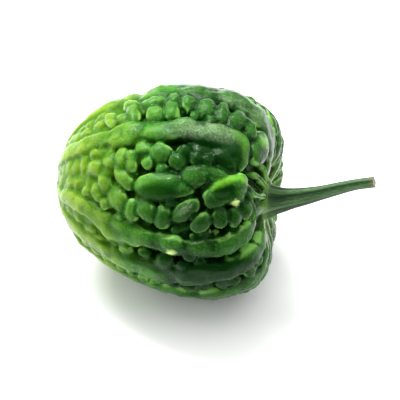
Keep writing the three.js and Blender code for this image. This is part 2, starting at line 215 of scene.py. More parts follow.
def sampleOutline(points):
    pieces = []
    for start in range(0, len(points) - 1, 3):
        a, b, c, d = (np.array(p, float) for p in points[start:start + 4])
        t = np.linspace(0, 1, 120, endpoint=False)[:, None]
        pieces.append((1 - t) ** 3 * a + 3 * (1 - t) ** 2 * t * b + 3 * (1 - t) * t ** 2 * c + t ** 3 * d)
    path = np.vstack(pieces + [np.array([points[-1]], float)])
    along = np.r_[0, np.cumsum(np.hypot(*np.diff(path, axis=0).T))]
    even = np.arange(0, along[-1], 0.25)
    x, radius = np.interp(even, along, path[:, 0]), np.interp(even, along, path[:, 1])
    ahead = np.stack([np.gradient(x, even), np.gradient(radius, even)], 1)
    ahead /= np.linalg.norm(ahead, axis=1)[:, None]
    return {
        "along": even, "x": x, "radius": radius, "total": along[-1],
        "outX": ahead[:, 1], "outRadius": -ahead[:, 0],  # the way out of the body
    }


outline = sampleOutline(fruit["outline"])
grooveTable = smoothTable(fruit["grooveDepth"])
reachTable = smoothTable(fruit["shoulderReach"])
for ridge in ridges:
    ridge["table"] = smoothTable(ridge["course"])
    if isinstance(ridge["half"], list):
        ridge["halfTable"] = smoothTable(ridge["half"])


def readOutline(name, along):
    return np.interp(along, outline["along"], outline[name])


def smoothRamp(at, low, high):
    t = np.clip((at - low) / (high - low), 0, 1)
    return t * t * (3 - 2 * t)


def placeInFrame(x, radius, roundDeg):
    # x from the tip along the axis, distance from the axis and angle, to metres in the part's frame
    angle = np.radians(roundDeg)
    turned = np.mod(roundDeg + 60, 360) - 60
    reach = readTable(reachTable, turned) * smoothRamp(x, 0.78 * fruit["length"], 1.02 * fruit["length"])
    reach = reach * smoothRamp(radius, 10, 30)
    leaned = x + reach - fruit["lean"] * radius * np.sin(angle - math.pi / 4) - fruit["length"] / 2
    up = radius * np.sin(angle)
    tilt = math.radians(fruit["tilt"])
    placed = np.stack([
        leaned * math.cos(tilt) - up * math.sin(tilt),
        -radius * np.cos(angle),
        leaned * math.sin(tilt) + up * math.cos(tilt),
    ], -1)
    return (placed + np.array(fruit["middle"])) * mm


def placeOnSkin(along, roundDeg, depth):
    # depth is how far the place lies under the crests, square to the outline
    x = readOutline("x", along) - depth * readOutline("outX", along)
    radius = readOutline("radius", along) - depth * readOutline("outRadius", along)
    return placeInFrame(x, np.maximum(radius, 0), roundDeg)


def crestRadius(along):
    return readOutline("radius", along)


def ridgeHalf(ridge, along):
    half = readTable(ridge["halfTable"], along) if "halfTable" in ridge else ridge["half"]
    crowding = np.minimum(1, crestRadius(along) / 46) ** 0.75
    return half * crowding * (1 + 0.07 * np.sin(along / 2.9 + ridge["course"][0][1]))


def valleyAbove(i, along):
    low, high = ridges[i], ridges[(i + 1) % len(ridges)]
    turn = 360 if i == len(ridges) - 1 else 0
    radius = crestRadius(along)
    lowHalf = 0 if low.get("broken") else math.degrees(ridgeHalf(low, along) / radius)
    highHalf = 0 if high.get("broken") else math.degrees(ridgeHalf(high, along) / radius)
    return readTable(low["table"], along) + lowHalf, readTable(high["table"], along) + turn - highHalf


def makeDraws(seed):
    # repeatable draws: the same fruit grows every time
    state = [seed]

    def draw(least=0, extent=1):
        state[0] = (state[0] * 1664525 + 1013904223) % 4294967296
        return least + extent * (state[0] / 4294967296)
    return draw


def growWarts():
    # the same rule and the same draws as the solid, so the warts sit where its warts do
    rule = grownWarts
    draw = makeDraws(rule["seed"])
    laid = []
    for i in range(len(ridges)):
        along = rule["first"].get(i, rule["from"])
        while along < outline["total"] - 9:
            radius = crestRadius(along)
            start, end = valleyAbove(i, along)
            free = math.radians(end - start) * radius
            rows = max(1, math.floor(free / rule["rowWidth"] + 0.5))
            half = draw(*rule["half"]) * min(1, radius / rule["fullRadius"] + 0.25)
            for row in range(rows):
                laid.append((
                    along + half + (draw() - 0.5) * rule["shift"],
                    start + ((row + 0.5 + (draw() - 0.5) * 0.25) / rows) * (end - start),
                    half * draw(*rule["length"]),
                    max(rule["narrowest"], (free / rows) * draw(*rule["width"])),
                ))
            along += half * rule["spacing"]
    return laid


def layOnSkin(verts, toSkin):
    # moves a unit shape's points to the skin; toSkin turns unit coordinates to along, round, depth
    unit = np.array([v.co[:] for v in verts])
    along, roundDeg, depth = toSkin(unit)
    for vert, place in zip(verts, placeOnSkin(along, roundDeg, depth)):
        vert.co = place


def wander(seed, at, size):
    # slow, repeatable wavering between about -1 and 1
    values = [noise.noise(Vector((value / size, seed * 7.31, 0.5))) for value in np.atleast_1d(at)]
    return np.array(values) * 1.8


def waver(seed, at, mean, slow, quick):
    return mean + slow[0] * wander(seed, at, slow[1]) + quick[0] * wander(seed + 20, at, quick[1])


def addTo(bm, small):
    # small shapes are made apart and added whole, which is far quicker than growing the big one
    mesh = bpy.data.meshes.new("small")
    small.to_mesh(mesh)
    small.free()
    bm.from_mesh(mesh)
    bpy.data.meshes.remove(mesh)


def addRidge(bm, ridge, seed):
    start = ridge.get("start", 3.5)
    end = outline["total"] - 1.5
    roll = bmesh.new()
    verts = bmesh.ops.create_uvsphere(roll, u_segments=28, v_segments=120, radius=1)["verts"]

    def toSkin(unit):
        share = np.arccos(np.clip(unit[:, 2], -1, 1)) / math.pi
        turn = np.arctan2(unit[:, 1], unit[:, 0])
        along = start + share * (end - start)
        rounding = 7 if "start" in ridge else 1.5  # of the end at the stem
        blunt = np.clip((start + rounding - along) / rounding, 0, 1)
        blunt = np.maximum(blunt, np.clip((along - end + 4) / 4, 0, 1))
        size = np.sqrt(np.clip(1 - blunt ** 2, 0, 1))
        half = ridgeHalf(ridge, along) * waver(seed, along, *ridgeLook["half"]) * size
        groove = readTable(grooveTable, along)
        tall = groove * waver(seed + 40, along, *ridgeLook["tall"])
        if "notch" in ridge:
            at, wide, deep = ridge["notch"]
            tall = tall * (1 - deep * np.exp(-((along - at) / wide) ** 2))
        if "swell" in ridge:
            at, wide, rise = ridge["swell"]
            tall = groove + rise * np.exp(-((along - at) / wide) ** 2)
        tall = tall * size
        sway = waver(seed + 80, along, *ridgeLook["sway"])
        sideways, upward = np.cos(turn), np.sin(turn)
        across = half * np.sign(sideways) * np.abs(sideways) ** ridgeLook["flatness"] + sway
        bulge = np.abs(upward) ** ridgeLook["flatness"] * tall
        above = np.where(upward > 0, bulge, upward * ridgeLook["sink"])
        roundDeg = readTable(ridge["table"], along) + np.degrees(across / np.maximum(crestRadius(along), 3))
        return along, roundDeg, groove - above
    layOnSkin(verts, toSkin)
    addTo(bm, roll)


def addCord(bm, cord):
    # a thin tapering tube along a path over the skin
    roll = bmesh.new()
    verts = bmesh.ops.create_uvsphere(roll, u_segments=12, v_segments=60, radius=1)["verts"]
    path = np.array(cord["path"], float)
    steps = np.hypot(np.diff(path[:, 0]), np.radians(np.diff(path[:, 1])) * crestRadius(path[1:, 0]))
    distance = np.r_[0, np.cumsum(steps)]
    alongTable = smoothTable(list(zip(distance, path[:, 0])))
    roundTable = smoothTable(list(zip(distance, path[:, 1])))

    def toSkin(unit):
        at = np.arccos(np.clip(unit[:, 2], -1, 1)) / math.pi * distance[-1]
        end = np.clip(np.minimum(at, distance[-1] - at) / 4, 0, 1)
        size = np.sqrt(1 - (1 - end) ** 2)
        turn = np.arctan2(unit[:, 1], unit[:, 0])
        along, roundDeg = readTable(alongTable, at), readTable(roundTable, at)
        radius = crestRadius(along)
        ahead = readTable(alongTable, at + 0.5) - readTable(alongTable, at - 0.5)
        across = np.radians(readTable(roundTable, at + 0.5) - readTable(roundTable, at - 0.5)) * radius
        length = np.maximum(np.hypot(ahead, across), 1e-6)
        side = cord["half"] * size * np.cos(turn)
        groove = readTable(grooveTable, along)
        tall = np.minimum(cord["tall"], groove + 0.9)  # sinks into the seat at the stem
        above = np.where(np.sin(turn) > 0, np.sin(turn) * tall * size, np.sin(turn) * 4)
        turned = roundDeg + np.degrees(side * ahead / length / radius)
        return along - side * across / length, turned, groove - above
    layOnSkin(verts, toSkin)
    addTo(bm, roll)


def addBump(bm, bump, seed, top, detail, fullness, rough, dome):
    # a wart or a lobe: an uneven dome on a stretched foot
    ball = bmesh.new()
    along, roundDeg, halfLength, halfWidth = bump[:4]
    turn = math.radians(bump[4]) if len(bump) > 4 else 0.0
    groove = float(readTable(grooveTable, along))
    narrow = min(halfLength, halfWidth)
    tall = min(top * groove, bumpLimit["tall"] * narrow)
    radius = float(crestRadius(along))
    verts = bmesh.ops.create_icosphere(ball, subdivisions=detail, radius=1)["verts"]

    def toSkin(unit):
        full = (np.abs(unit) ** fullness).sum(1) ** (-1 / fullness)
        shift = Vector((seed * 3.17, seed * 1.3, 0))
        uneven = np.array([noise.noise(Vector(p) * 1.1 + shift) for p in unit])
        body = unit * (full * (1 + rough * uneven))[:, None]
        ahead, across, above = body[:, 0] * halfLength, body[:, 1] * halfWidth, body[:, 2]
        rise = min(bumpLimit["rise"] * tall, dome * narrow)
        under = above * (tall - rise + bumpLimit["sink"])
        depth = groove - (tall - rise) - np.where(above > 0, above * rise, under)
        return (along + ahead * math.cos(turn) - across * math.sin(turn),
                roundDeg + np.degrees((ahead * math.sin(turn) + across * math.cos(turn)) / radius),
                depth)
    layOnSkin(verts, toSkin)
    addTo(bm, ball)


def buildFruitSkin():
    bm = bmesh.new()
    # core under the ridges: the groove floors, spun round the axis
    alongs = np.r_[np.arange(4, outline["total"] - 1, fruit["ringStep"]), outline["total"] - 0.3]
    last = None
    edges = []
    seatX = float(readOutline("x", 4))
    profile = [(seatX, 0.0), (seatX, fruit["seatRadius"])]
    for along in alongs[1:]:
        depth = float(readTable(grooveTable, along)) * float(np.interp(along, (70, 115), (0.9, 0.55)))
        x = readOutline("x", along) - depth * readOutline("outX", along)
        radius = crestRadius(along) - depth * readOutline("outRadius", along)
        profile.append((float(x), float(max(radius, 0.4))))
    profile.append((0.0, 0.0))
    for x, radius in profile:
        vert = bm.verts.new((x, -radius, 0))
        if last:
            edges.append(bm.edges.new((last, vert)))
        last = vert
    bmesh.ops.spin(bm, geom=bm.verts[:] + edges, cent=(0, 0, 0), axis=(1, 0, 0), dvec=(0, 0, 0),
                   angle=math.tau, steps=120, use_merge=True, use_normal_flip=False, use_duplicate=False)
    bmesh.ops.remove_doubles(bm, verts=bm.verts[:], dist=0.001)
    core = np.array([v.co[:] for v in bm.verts])
    coreRound = np.degrees(np.arctan2(core[:, 2], -core[:, 1]))
    # the hollow between the stem and the end of the broad fold is deeper than the other grooves,
    # and so are the floors among the biggest lobes
    pit = fruit["stemHollow"]
    hollow = pit["deep"] * np.exp(-((coreRound - pit["round"]) / pit["wide"]) ** 2)
    hollow = hollow * np.exp(-((core[:, 0] - fruit["length"]) / pit["along"]) ** 2)
    hollow = hollow + fruit["lobeFloor"] * smoothRamp(core[:, 0], 20, 50) * smoothRamp(-core[:, 0], -98, -86)
    coreRadius = np.hypot(core[:, 1], core[:, 2])
    hollow = hollow * smoothRamp(coreRadius, 9, 20)
    lowered = np.maximum(coreRadius - hollow * smoothRamp(coreRadius, 20, 40), 0)
    placed = placeInFrame(core[:, 0] - hollow, lowered, coreRound)
    for vert, place in zip(bm.verts, placed):
        vert.co = place

    for seed, ridge in enumerate(ridges):
        if not ridge.get("broken"):
            addRidge(bm, ridge, seed)
    for cord in cords:
        addCord(bm, cord)
    for seed, lobe in enumerate(lobes):
        addBump(bm, lobe, seed + 3, top=lobe[5], **bumpLook["lobe"])
    for seed, wart in enumerate(sideWarts):
        spread = (wart[2] * placedSpread, wart[3] * placedSpread)
        addBump(bm, wart[:2] + spread + wart[4:], seed, **bumpLook["placed"])
    warts = growWarts()
    for seed, wart in enumerate(warts):
        addBump(bm, wart, seed, top=float(np.interp(wart[0], *grownWarts["top"])), **bumpLook["grown"])
    draw = makeDraws(pimples["seed"])
    clearAlong, clearRound = pimples["clearOf"]
    for seed in range(pimples["draws"]):
        size = draw(*pimples["half"])
        place = (draw(*pimples["along"]), draw(*pimples["round"]), size, size * draw(*pimples["stretch"]))
        top = draw(*pimples["top"])
        if place[0] > clearAlong or place[1] < clearRound:
            addBump(bm, place, seed, top=top, **bumpLook["pimple"])
    bmesh.ops.recalc_face_normals(bm, faces=bm.faces[:])
    mesh = bpy.data.meshes.new("fruit_skin")
    bm.to_mesh(mesh)
    bm.free()
    print("fruit: core, ridges, cords, lobes and", len(sideWarts) + len(warts), "warts laid")

    skin = bpy.data.objects.new("fruit_skin", mesh)
    bpy.context.scene.collection.objects.link(skin)
    fuse = skin.modifiers.new("fuse", "REMESH")
    fuse.mode = "VOXEL"
    fuse.voxel_size = fruit["voxel"] * mm
    ease = skin.modifiers.new("ease", "SMOOTH")
    ease.factor = 0.5
    ease.iterations = fruit["skinSmooth"]
    thin = skin.modifiers.new("thin", "DECIMATE")
    thin.ratio = fruit["keepFaces"]
    applyModifiers(skin)
    print("fruit: fused to", len(skin.data.polygons), "faces")
    return skin


def applyModifiers(piece):
    evaluated = piece.evaluated_get(bpy.context.evaluated_depsgraph_get())
    mesh = bpy.data.meshes.new_from_object(evaluated)
    piece.modifiers.clear()
    old = piece.data
    piece.data = mesh
    mesh.name = old.name
    bpy.data.meshes.remove(old)


def readPoints(mesh):
    points = np.empty(len(mesh.vertices) * 3)
    mesh.vertices.foreach_get("co", points)
    return points.reshape(-1, 3)


def writePoints(mesh, points):
    mesh.vertices.foreach_set("co", points.ravel())
    mesh.update()


def readNormals(mesh):
    normals = np.empty(len(mesh.vertices) * 3)
    mesh.vertices.foreach_get("normal", normals)
    return normals.reshape(-1, 3)


def smoothValues(mesh, values, passes):
    # averages over neighbours, for points or for numbers on them
    pairs = np.empty(len(mesh.edges) * 2, int)
    mesh.edges.foreach_get("vertices", pairs)
    a, b = pairs.reshape(-1, 2).T
    count = np.bincount(np.r_[a, b], minlength=len(mesh.vertices)).astype(float)
    values = values.copy()
    for _ in range(passes):
        total = np.zeros_like(values)
        np.add.at(total, a, values[b])
        np.add.at(total, b, values[a])
        values = total / (count[:, None] if values.ndim > 1 else count)
    return values


def skinPlaces(points):
    # along, round, depth under the crests and the way out of the body, for points given in metres
    d = points / mm - np.array(fruit["middle"])
    tilt = math.radians(fruit["tilt"])
    ahead = d[:, 0] * math.cos(tilt) + d[:, 2] * math.sin(tilt)
    up = -d[:, 0] * math.sin(tilt) + d[:, 2] * math.cos(tilt)
    radius = np.hypot(up, d[:, 1])
    angle = np.arctan2(up, -d[:, 1])
    roundDeg = np.mod(np.degrees(angle) + 60, 360) - 60
    x = ahead + fruit["length"] / 2 + fruit["lean"] * radius * np.sin(angle - math.pi / 4)
    reach = readTable(reachTable, roundDeg) * smoothRamp(radius, 10, 30)
    x = x - reach * smoothRamp(x - reach, 0.78 * fruit["length"], 1.02 * fruit["length"])
    along, depth, outX, outRadius = (np.empty(len(x)) for _ in range(4))
    for start in range(0, len(x), 4000):
        part = slice(start, start + 4000)
        dx = x[part, None] - outline["x"][None]
        dr = radius[part, None] - outline["radius"][None]
        nearest = np.argmin(dx * dx + dr * dr, 1)
        along[part] = outline["along"][nearest]
        outX[part], outRadius[part] = outline["outX"][nearest], outline["outRadius"][nearest]
        depth[part] = -(np.take_along_axis(dx, nearest[:, None], 1)[:, 0] * outX[part]
                        + np.take_along_axis(dr, nearest[:, None], 1)[:, 0] * outRadius[part])
    up = outRadius * np.sin(angle)
    outward = np.stack([outX * math.cos(tilt) - up * math.sin(tilt), -outRadius * np.cos(angle),
                        outX * math.sin(tilt) + up * math.cos(tilt)], -1)
    return along, roundDeg, depth, outward


def storeValues(mesh, name, values):
    attribute = mesh.attributes.new(name, "FLOAT", "POINT")
    attribute.data.foreach_set("value", values.astype(np.float32))


# Spots that differ from the skin round them: along, round, half length, half width, turn, and
# the strength if it isn't full.
scuffs = [(65, 79, 15, 4.6, -12), (56, 79.5, 9, 5, 0), (66, 35, 4, 1.5, -42), (46, 108, 14, 5, 0, 0.6)]
# painted shade: dark spots where shade falls, on the overhung flank of the broad fold, in the valleys and on
# lobes and warts
paintedShades = [
    (55.7, 68, 15, 6.5, -8), (66, 71, 7, 4, 0), (74, 0, 26, 3, -5), (59, 358, 26, 5, 0),
    (80, 41, 11, 4, -9, 0.7), (26, 88, 6.5, 8, 30, 0.75), (78, 44, 9, 3.5, -9, 0.4),
    (49.3, 46.4, 4.6, 3, -26, 0.9), (60, 33, 26, 9, -8, 0.35), (66, 61, 14, 6, -10, 0.42),
    (70, 4, 22, 6, -5, 0.7), (61, 344, 24, 6, 0, 0.6),
]
# pale fresh skin and painted highlights: a highlight on a wart by the stem, a lit band along a lobe's upper
# edge and lit rims at the end of the broad fold
freshSkinAndHighlights = [(31.5, 93, 3, 4.5, 30), (49.1, 52.2, 9.1, 1.8, -30), (42.3, 55.5, 3.2, 1.6, 23),
         (45.5, 81.5, 4, 3, 24, 0.4), (40.5, 70.5, 2.2, 9, -24, 0.5)]
chips = [(87.5, 9, 1.3, 1, 0), (72, 10.5, 1.8, 1.2, 0), (42.5, 40.8, 2.2, 1.4, 0)]
# Low lumps and dents of the crests and lobes, laid the same way, and how far they stand out.
lumps = [
    (48.8, 47.2, 4, 2.6, -26, -2.4), (50.5, 60, 6, 2.2, 20, -0.8), (43, 52, 4, 2.5, 0, 0.8),
    (70.5, 47.5, 2, 5, 20, -0.7), (84, 45, 4.5, 4, 0, 0.7), (72, 82, 4, 3, 9, 1.3),
    (98, 79.5, 5, 3.4, 33, 0.9), (91, 77, 2.4, 3, 20, -0.5), (84.5, 75, 4.5, 3.4, 37, 0.9),
    (77.5, 79, 2.2, 3.4, 0, -0.4), (64, 78, 4, 3, 0, 0.6), (53, 80, 5, 3, 0, 0.8),
    (107, 24, 3.6, 2.6, 7, 0.9), (97.5, 20, 3.6, 2.6, 0, 0.9), (102.5, 17, 2, 3, 0, -0.8),
    (86, 15, 4, 2.4, 10, 0.8), (73, 16, 3.6, 2.2, -8, 0.7), (79, 14, 2, 3, 0, -0.6),
    (58, 15, 4, 2.6, 5, 0.7), (65, 12, 2, 3, 0, -0.5), (44, 17.5, 3.6, 2.4, -10, 0.7),
    (50, 356, 5, 3, 0, 0.8), (58, 353, 2.2, 4, 0, -0.7), (66, 351, 5, 4, 8, 0.8),
    (82, 351, 5, 3, -8, 0.9), (74, 350, 2.2, 4, 0, -0.8), (98, 350, 5, 3.4, 0, 0.9),
    (52, 118, 6, 5, 0, 0.9), (70, 115, 5, 4, 10, 0.8), (61, 117, 2.4, 6, 0, -0.8),
    (86, 120, 6, 5, -10, 0.9), (78, 117, 2.4, 6, 8, -0.7), (101, 116, 5, 4, 0, 0.8),
    (114, 118, 4, 4, 0, 0.8), (82, 124, 14, 9, 0, 1.2),
]


def spotMask(along, roundDeg, spots, soft):
    mask = np.zeros(len(along))
    for spotAlong, spotRound, halfLength, halfWidth, turn, *strength in spots:
        ahead = along - spotAlong
        across = np.radians(np.mod(roundDeg - spotRound + 180, 360) - 180) * crestRadius(along)
        turned = math.radians(turn)
        reach = np.hypot((ahead * math.cos(turned) + across * math.sin(turned)) / halfLength,
                         (across * math.cos(turned) - ahead * math.sin(turned)) / halfWidth)
        mask = np.maximum(mask, (strength or [1])[0] * (1 - smoothRamp(reach, 1 - soft, 1 + soft)))
    return mask


def unevenAt(place):
    # low dents and swellings, so no crest or wart keeps a machined curve
    return sum(noise.noise(Vector(place) / (size * mm)) * height for size, height in fruit["unevenness"])


def finishFruitSkin(skin):
    mesh = skin.data
    points = readPoints(mesh)
    normals = readNormals(mesh)
    dents = np.array([unevenAt(place) for place in points])
    along, roundDeg, depth, outward = skinPlaces(points)
    for *spot, height in lumps:
        swelling = fruit["lumpShare"] * height * spotMask(along, roundDeg, [spot], 0.75)
        dents = dents + swelling * (depth < 4)  # none in the grooves
    points = points + normals * (dents * mm)[:, None]
    points[:, 2] = np.maximum(points[:, 2], fruit["floorZ"])
    writePoints(mesh, points)

    along, roundDeg, depth, outward = skinPlaces(points)
    steep = 1 - (smoothValues(mesh, normals, 1) * outward).sum(1)
    groove = np.maximum(readTable(grooveTable, along), 0.8)
    wide = smoothValues(mesh, points, fruit["hollowPasses"])
    sunk = ((wide - points) * normals).sum(1) / mm  # over 0 in hollows, under 0 on crests
    near = smoothValues(mesh, points, fruit["creasePasses"])
    sharp = ((near - points) * normals).sum(1) / mm  # over 0 in creases, under 0 on edges
    sharp = smoothValues(mesh, sharp, 1)
    storeValues(mesh, "ripeness", along / outline["total"])
    storeValues(mesh, "relief", np.clip(1 - depth / groove, 0, 1.2))
    storeValues(mesh, "hollow", np.clip(sunk, -1.5, 1.5))
    storeValues(mesh, "sharp", np.clip(sharp, -0.6, 0.6))
    storeValues(mesh, "foot", (1 - smoothRamp(along, 5, 22)) * fruit["footStrength"])
    storeValues(mesh, "scuff", spotMask(along, roundDeg, scuffs, 0.45) * smoothRamp(-sunk, -0.1, 0.35))
    storeValues(mesh, "steep", steep)
    # where the skin is painted with shade
    storeValues(mesh, "paintedShade", spotMask(along, roundDeg, paintedShades, 0.45))
    storeValues(mesh, "freshSkinAndHighlights", spotMask(along, roundDeg, freshSkinAndHighlights, 0.5))
    storeValues(mesh, "chip", spotMask(along, roundDeg, chips, 0.25))
    mesh.polygons.foreach_set("use_smooth", np.ones(len(mesh.polygons), bool))
    mesh.update()


stem = {
    "course": [  # x from the fruit's tip, lift over its axis, half thickness
        (97.6, 0, 11.6), (98.4, 0, 9.6), (99.6, 0, 8.2), (101, 0, 7.1), (103, 0.4, 6.1), (106.5, 1.2, 5.2),
        (110.3, 2.5, 4.5), (117.7, 5.3, 3.7), (125, 8.6, 3.05), (132.2, 12.2, 2.7), (140, 15.9, 2.35),
        (148.7, 18.9, 2.35),
    ],
    "ribs": 5,
    "ribTurn": (-1.1, 0.5),  # where they start, and how far they twist by the cut end
    "ribDepth": (0.11, 0.16),  # all along, and more of it at the root
    "fineRibs": {"times": 3, "turn": 1.9, "depth": 0.03, "fade": 0.01},
}


def buildStem():
    bm = bmesh.new()
    rows, capRows = 130, 8
    verts = bmesh.ops.create_uvsphere(bm, u_segments=60, v_segments=rows, radius=1)["verts"]
    liftTable = smoothTable([(x, lift) for x, lift, half in stem["course"]])
    halfTable = smoothTable([(x, half) for x, lift, half in stem["course"]])
    unit = np.array([v.co[:] for v in verts])
    row = np.arccos(np.clip(-unit[:, 2], -1, 1)) / math.pi * rows
    angle = np.arctan2(unit[:, 1], unit[:, 0])
    share = np.clip((row - capRows) / (rows - 2 * capRows), 0, 1)
    cap = np.clip(np.minimum(row / capRows, (rows - row) / capRows), 0, 1)
    first, last = stem["course"][0][0], stem["course"][-1][0]
    x = first + (last - first) * share ** 1.2  # rings lie closer at the root
    slope = np.arctan(np.gradient(liftTable[1], liftTable[0]))
    slopeAt = np.where(share > 0, np.interp(x, liftTable[0], slope), 0)
    rib = np.cos(stem["ribs"] * angle + stem["ribTurn"][0] + stem["ribTurn"][1] * share)
    ribbed = 1 + (stem["ribDepth"][0] + stem["ribDepth"][1] * (1 - share) ** 4) * rib
    fine = stem["fineRibs"]
    fineRib = np.cos(fine["times"] * stem["ribs"] * angle + fine["turn"])
    ribbed += (fine["depth"] - fine["fade"] * share) * fineRib
    half = readTable(halfTable, x) * ribbed * np.sqrt(cap)
    up = half * np.sin(angle)
    side = half * np.cos(angle)
    lift = readTable(liftTable, x) + up * np.cos(slopeAt)
    placed = placeInFrame(x - up * np.sin(slopeAt), np.hypot(side, lift), np.degrees(np.arctan2(lift, side)))
    for vert, place in zip(verts, placed):
        vert.co = place
    # known fault: this leaves the stem's faces pointing inward, as the shape above is a mirrored sphere
    bmesh.ops.recalc_face_normals(bm, faces=bm.faces[:])
    mesh = bpy.data.meshes.new("stem_skin")
    bm.to_mesh(mesh)
    bm.free()
    piece = bpy.data.objects.new("stem_skin", mesh)
    bpy.context.scene.collection.objects.link(piece)
    storeValues(mesh, "reach", np.clip(share, 0, 1))
    storeValues(mesh, "rib", rib)
    mesh.polygons.foreach_set("use_smooth", np.ones(len(mesh.polygons), bool))
    return piece


def fromHex(text):
    # sRGB hex to the linear colour that Blender's sockets take
    channels = [int(text[i:i + 2], 16) / 255 for i in (1, 3, 5)]
    return tuple(c / 12.92 if c <= 0.04045 else ((c + 0.055) / 1.055) ** 2.4 for c in channels) + (1.0,)


def addNode(tree, kind, settings=None, inputs=(), output=0):
    # inputs go by name or number, or stand in the sockets' own order; gives back the output asked for
    node = tree.nodes.new(kind)
    for name, value in (settings or {}).items():
        setattr(node, name, value)
    for name, value in inputs.items() if isinstance(inputs, dict) else enumerate(inputs):
        if isinstance(value, bpy.types.NodeSocket):
            tree.links.new(value, node.inputs[name])
        else:
            node.inputs[name].default_value = value
    return node.outputs[output] if node.outputs else None


eased = {"interpolation_type": "SMOOTHSTEP"}  # settings that many nodes share
multiply, largest = {"operation": "MULTIPLY"}, {"operation": "MAXIMUM"}
blend = {"data_type": "RGBA"}


def patternScale(size):
    # whole cells to the metre, for a pattern this many millimetres across
    return round(1 / (size * mm))


def startMaterial(name):
    material = bpy.data.materials.new(name)
    material.use_nodes = True
    material.node_tree.nodes.clear()
    return material, material.node_tree


skinLook = {
    "tints": {
        "stemGreen": "#073005",
        "middleGreen": "#17520c",
        "tipGreen": "#52740a",
        # painted shade: the dark green laid into grooves, hollows, creases and shaded spots, at the stem and
        # at the tip
        "grooveShadeGreen": "#032803",
        "tipGrooveShade": "#3c6a0a",
        # partly the grey waxy bloom of the crests, partly painted light on the tops
        "crestBloomAndLight": "#58993c",
        "tipBloomAndLight": "#88a436",
        "blotchGreen": "#308428",
        # pale fresh skin and painted highlights
        "freshAndHighlightGreen": "#5c9a24",
        "scuffGrey": "#7f9670",
        "chipFlesh": "#c0d884",
        "footGreen": "#5c8224",
        # painted rim light on steep flanks and edges, at the stem and at the tip
        "paintedRimGreen": "#74ac50",
        "paintedTipRim": "#88b44e",
        "sheenGreen": "#b4e486",
        "glossGreen": "#8ccc70",
    },
    "patterns": {  # mm across, detail and roughness of each noise
        "patches": (15.4, 3, 0.5),
        "blotches": (2.63, 5, 0.65),
        "speckle": (1.053, 3, 0.5),
        "grain": (1.25, 4, 0.5),  # real wax is grained too fine to show, so this is drawn coarser
    },
}


